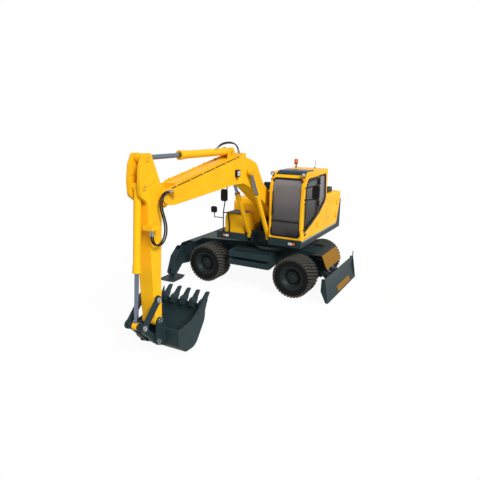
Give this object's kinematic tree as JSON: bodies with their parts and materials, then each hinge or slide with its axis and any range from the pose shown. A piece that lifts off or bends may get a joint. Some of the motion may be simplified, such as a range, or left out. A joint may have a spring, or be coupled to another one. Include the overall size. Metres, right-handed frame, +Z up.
{
  "type": "wheeled excavator",
  "caption": "Twin-tyred wheeled excavator, one-piece boom over the side, digging bucket, dozer blade and folding outriggers; its booms, cab door, steering, wheels and slew ring move.",
  "frame": {"origin": "on the ground under the slewing axis", "axes": "+Z up, +X towards the blade end of the chassis, -Y the way the boom points at rest"},
  "size_m": [4.6628, 8.302, 3.9177],
  "materials": {
    "yellow_paint": "semi-gloss",
    "grey_paint": "semi-gloss",
    "chrome_rod": "polished",
    "tyre_rubber": "matte",
    "rim_paint": "satin",
    "window_glass": "gloss",
    "lamp_lens": "gloss",
    "hose_rubber": "matte",
    "black_trim": "matte"
  },
  "bodies": {
    "chassis": {"chassis_frame": "grey_paint", "slewing_ring": "grey_paint", "step_boxes": "grey_paint", "steer_axle": "grey_paint", "rigid_axle": "grey_paint", "drive_line": "grey_paint", "blade_guard": "yellow_paint"},
    "upper": {"swing_frame": "grey_paint", "counterweight": "grey_paint", "engine_block": "grey_paint", "engine_housing": "yellow_paint", "tank_cover": "yellow_paint", "tool_box": "yellow_paint", "cab_shell": "yellow_paint", "cab_roof": "yellow_paint", "cab_glass": "window_glass", "cab_interior": "black_trim", "mirrors": "black_trim", "lamps": "lamp_lens"},
    "cab_door": {"cab_door": "yellow_paint", "door_glass": "window_glass"},
    "engine_hood": {"engine_hood": "yellow_paint", "hood_cover": "black_trim"},
    "service_door_left": {"service_door_left": "yellow_paint"},
    "service_door_right": {"service_door_right": "yellow_paint"},
    "boom": {"boom": "yellow_paint", "boom_hoses": "hose_rubber"},
    "boom_cylinder_barrels": {"boom_cylinder_barrels": "yellow_paint"},
    "boom_cylinder_rods": {"boom_cylinder_rods": "chrome_rod"},
    "arm": {"arm": "yellow_paint", "arm_hoses": "hose_rubber"},
    "arm_cylinder_barrel": {"arm_cylinder_barrel": "yellow_paint"},
    "arm_cylinder_rod": {"arm_cylinder_rod": "chrome_rod"},
    "bucket": {"bucket": "grey_paint"},
    "bucket_levers": {"bucket_levers": "grey_paint"},
    "bucket_link": {"bucket_link": "grey_paint"},
    "bucket_cylinder_barrel": {"bucket_cylinder_barrel": "yellow_paint"},
    "bucket_cylinder_rod": {"bucket_cylinder_rod": "chrome_rod"},
    "blade": {"blade": "grey_paint"},
    "blade_ram_barrels": {"blade_ram_barrels": "grey_paint"},
    "blade_ram_rods": {"blade_ram_rods": "chrome_rod"},
    "steering_rod": {"steering_rod": "grey_paint"},
    "outrigger_leg_left": {"outrigger_leg_left": "grey_paint"},
    "outrigger_foot_left": {"outrigger_foot_left": "grey_paint"},
    "outrigger_barrel_left": {"outrigger_barrel_left": "grey_paint"},
    "outrigger_rod_left": {"outrigger_rod_left": "chrome_rod"},
    "steer_knuckle_left": {"steer_knuckle_left": "grey_paint"},
    "steer_wheel_left": {"steer_wheel_left_tyres": "tyre_rubber", "steer_wheel_left_rims": "rim_paint"},
    "rigid_wheel_left": {"rigid_wheel_left_tyres": "tyre_rubber", "rigid_wheel_left_rims": "rim_paint"},
    "outrigger_leg_right": {"outrigger_leg_right": "grey_paint"},
    "outrigger_foot_right": {"outrigger_foot_right": "grey_paint"},
    "outrigger_barrel_right": {"outrigger_barrel_right": "grey_paint"},
    "outrigger_rod_right": {"outrigger_rod_right": "chrome_rod"},
    "steer_knuckle_right": {"steer_knuckle_right": "grey_paint"},
    "steer_wheel_right": {"steer_wheel_right_tyres": "tyre_rubber", "steer_wheel_right_rims": "rim_paint"},
    "rigid_wheel_right": {"rigid_wheel_right_tyres": "tyre_rubber", "rigid_wheel_right_rims": "rim_paint"}
  },
  "joints": [
    {"name": "slew", "type": "hinge", "parent": "chassis", "child": "upper", "pos_m": [0, 0, 1.212], "axis": [0, 0, 1], "continuous": true},
    {"name": "cab_door", "type": "hinge", "parent": "upper", "child": "cab_door", "pos_m": [1.285, -0.06, 2.3], "axis": [0, 0, 1], "range_deg": [0, 165]},
    {"name": "engine_hood", "type": "hinge", "parent": "upper", "child": "engine_hood", "pos_m": [0, 0.715, 2.436], "axis": [1, 0, 0], "range_deg": [0, 70]},
    {"name": "service_door_left", "type": "hinge", "parent": "upper", "child": "service_door_left", "pos_m": [1.267, 1.64, 1.915], "axis": [0, 0, 1], "range_deg": [0, 110]},
    {"name": "service_door_right", "type": "hinge", "parent": "upper", "child": "service_door_right", "pos_m": [-1.267, 1.64, 1.915], "axis": [0, 0, -1], "range_deg": [0, 110]},
    {"name": "boom", "type": "hinge", "parent": "upper", "child": "boom", "pos_m": [0, -0.1, 1.94], "axis": [-1, 0, 0], "range_deg": [-36, 40]},
    {"name": "boom_cylinder_swing", "type": "hinge", "parent": "upper", "child": "boom_cylinder_barrels", "pos_m": [0, -0.95, 1.43], "axis": [-1, 0, 0], "range_deg": [-36, 40]},
    {"name": "boom_cylinder_stroke", "type": "slide", "parent": "boom_cylinder_barrels", "child": "boom_cylinder_rods", "axis": [0, -0.5131, 0.8583], "range_m": [-0.585, 0.65]},
    {"name": "arm", "type": "hinge", "parent": "boom", "child": "arm", "pos_m": [0, -5.1, 2.97], "axis": [1, 0, 0], "range_deg": [-60, 52], "deforming": ["boom_hoses", "arm_hoses"]},
    {"name": "arm_cylinder_swing", "type": "hinge", "parent": "boom", "child": "arm_cylinder_barrel", "pos_m": [0, -2.6, 3.7], "axis": [1, 0, 0], "range_deg": [-7, 6]},
    {"name": "arm_cylinder_stroke", "type": "slide", "parent": "arm_cylinder_barrel", "child": "arm_cylinder_rod", "axis": [0, -1, 0], "range_m": [-0.735, 0.64]},
    {"name": "bucket", "type": "hinge", "parent": "arm", "child": "bucket", "pos_m": [0, -5.34, 0.76], "axis": [1, 0, 0], "range_deg": [-130, 25]},
    {"name": "bucket_levers", "type": "hinge", "parent": "arm", "child": "bucket_levers", "pos_m": [0, -5.38, 1.17], "axis": [1, 0, 0], "range_deg": [-93, 18]},
    {"name": "bucket_link", "type": "hinge", "parent": "bucket_levers", "child": "bucket_link", "pos_m": [0, -5.78, 0.77], "axis": [1, 0, 0], "range_deg": [-11.1, 57.5]},
    {"name": "bucket_cylinder_swing", "type": "hinge", "parent": "arm", "child": "bucket_cylinder_barrel", "pos_m": [0, -5.59, 3.23], "axis": [1, 0, 0], "range_deg": [-5.5, 1.2]},
    {"name": "bucket_cylinder_stroke", "type": "slide", "parent": "bucket_cylinder_barrel", "child": "bucket_cylinder_rod", "axis": [0, -0.077, -0.997], "range_m": [-0.785, 0.155]},
    {"name": "blade", "type": "hinge", "parent": "chassis", "child": "blade", "pos_m": [1.48, 0, 0.56], "axis": [0, -1, 0], "range_deg": [-8, 28]},
    {"name": "blade_ram_swing", "type": "hinge", "parent": "chassis", "child": "blade_ram_barrels", "pos_m": [1.48, 0, 0.96], "axis": [0, -1, 0], "range_deg": [-3, 10]},
    {"name": "blade_ram_stroke", "type": "slide", "parent": "blade_ram_barrels", "child": "blade_ram_rods", "axis": [0.4833, 0, -0.8754], "range_m": [-0.106, 0.031]},
    {"name": "outrigger_leg_left", "type": "hinge", "parent": "chassis", "child": "outrigger_leg_left", "pos_m": [-2.35, -1.02, 0.47], "axis": [-1, 0, 0], "range_deg": [-8, 90]},
    {"name": "outrigger_jack_swing_left", "type": "hinge", "parent": "chassis", "child": "outrigger_barrel_left", "pos_m": [-2.35, 0.15, 0.74], "axis": [-1, 0, 0], "range_deg": [-4.5, 0.6]},
    {"name": "outrigger_jack_stroke_left", "type": "slide", "parent": "outrigger_barrel_left", "child": "outrigger_rod_left", "axis": [0, -0.999, 0.0447], "range_m": [-0.52, 0.05]},
    {"name": "outrigger_foot_left", "type": "hinge", "parent": "outrigger_leg_left", "child": "outrigger_foot_left", "pos_m": [-2.35, -1.69, 0.25], "axis": [-1, 0, 0], "range_deg": [-25, 25]},
    {"name": "outrigger_leg_right", "type": "hinge", "parent": "chassis", "child": "outrigger_leg_right", "pos_m": [-2.35, 1.02, 0.47], "axis": [1, 0, 0], "range_deg": [-8, 90]},
    {"name": "outrigger_jack_swing_right", "type": "hinge", "parent": "chassis", "child": "outrigger_barrel_right", "pos_m": [-2.35, -0.15, 0.74], "axis": [1, 0, 0], "range_deg": [-4.5, 0.6]},
    {"name": "outrigger_jack_stroke_right", "type": "slide", "parent": "outrigger_barrel_right", "child": "outrigger_rod_right", "axis": [0, 0.999, 0.0447], "range_m": [-0.52, 0.05]},
    {"name": "outrigger_foot_right", "type": "hinge", "parent": "outrigger_leg_right", "child": "outrigger_foot_right", "pos_m": [-2.35, 1.69, 0.25], "axis": [1, 0, 0], "range_deg": [-25, 25]},
    {"name": "steering", "type": "hinge", "parent": "chassis", "child": "steer_knuckle_left", "pos_m": [-1.52, -0.8, 0.527], "axis": [0, 0, 1], "range_deg": [-30, 30]},
    {"name": "steering_right", "type": "hinge", "parent": "chassis", "child": "steer_knuckle_right", "pos_m": [-1.52, 0.8, 0.527], "axis": [0, 0, 1], "range_deg": [-30, 30]},
    {"name": "steering_rod", "type": "slide", "parent": "chassis", "child": "steering_rod", "axis": [0, 1, 0], "range_m": [-0.05, 0.05]},
    {"name": "steer_wheel_left", "type": "hinge", "parent": "steer_knuckle_left", "child": "steer_wheel_left", "pos_m": [-1.52, -0.967, 0.527], "axis": [0, 1, 0], "continuous": true},
    {"name": "rigid_wheel_left", "type": "hinge", "parent": "chassis", "child": "rigid_wheel_left", "pos_m": [1.07, -0.967, 0.527], "axis": [0, 1, 0], "continuous": true},
    {"name": "steer_wheel_right", "type": "hinge", "parent": "steer_knuckle_right", "child": "steer_wheel_right", "pos_m": [-1.52, 0.967, 0.527], "axis": [0, 1, 0], "continuous": true},
    {"name": "rigid_wheel_right", "type": "hinge", "parent": "chassis", "child": "rigid_wheel_right", "pos_m": [1.07, 0.967, 0.527], "axis": [0, 1, 0], "continuous": true}
  ],
  "couplings": [
    {"joint": "boom_cylinder_swing", "follows": "boom", "ratio": 0.9843},
    {"joint": "boom_cylinder_stroke", "follows": "boom", "m_per_rad": 0.92506},
    {"joint": "arm_cylinder_swing", "follows": "arm", "ratio": 0.1104},
    {"joint": "arm_cylinder_stroke", "follows": "arm", "m_per_rad": 0.69706},
    {"joint": "bucket_levers", "follows": "bucket", "ratio": 0.7125},
    {"joint": "bucket_link", "follows": "bucket", "ratio": -0.4405},
    {"joint": "bucket_cylinder_swing", "follows": "bucket", "ratio": 0.0414},
    {"joint": "bucket_cylinder_stroke", "follows": "bucket", "m_per_rad": 0.34433},
    {"joint": "blade_ram_swing", "follows": "blade", "ratio": 0.3409},
    {"joint": "blade_ram_stroke", "follows": "blade", "m_per_rad": -0.21375},
    {"joint": "outrigger_jack_swing_left", "follows": "outrigger_leg_left", "ratio": -0.0443},
    {"joint": "outrigger_jack_stroke_left", "follows": "outrigger_leg_left", "m_per_rad": -0.32797},
    {"joint": "outrigger_jack_swing_right", "follows": "outrigger_leg_right", "ratio": -0.0443},
    {"joint": "outrigger_jack_stroke_right", "follows": "outrigger_leg_right", "m_per_rad": -0.32797},
    {"joint": "steering_right", "follows": "steering", "ratio": 1},
    {"joint": "steering_rod", "follows": "steering", "m_per_rad": 0.088}
  ]
}
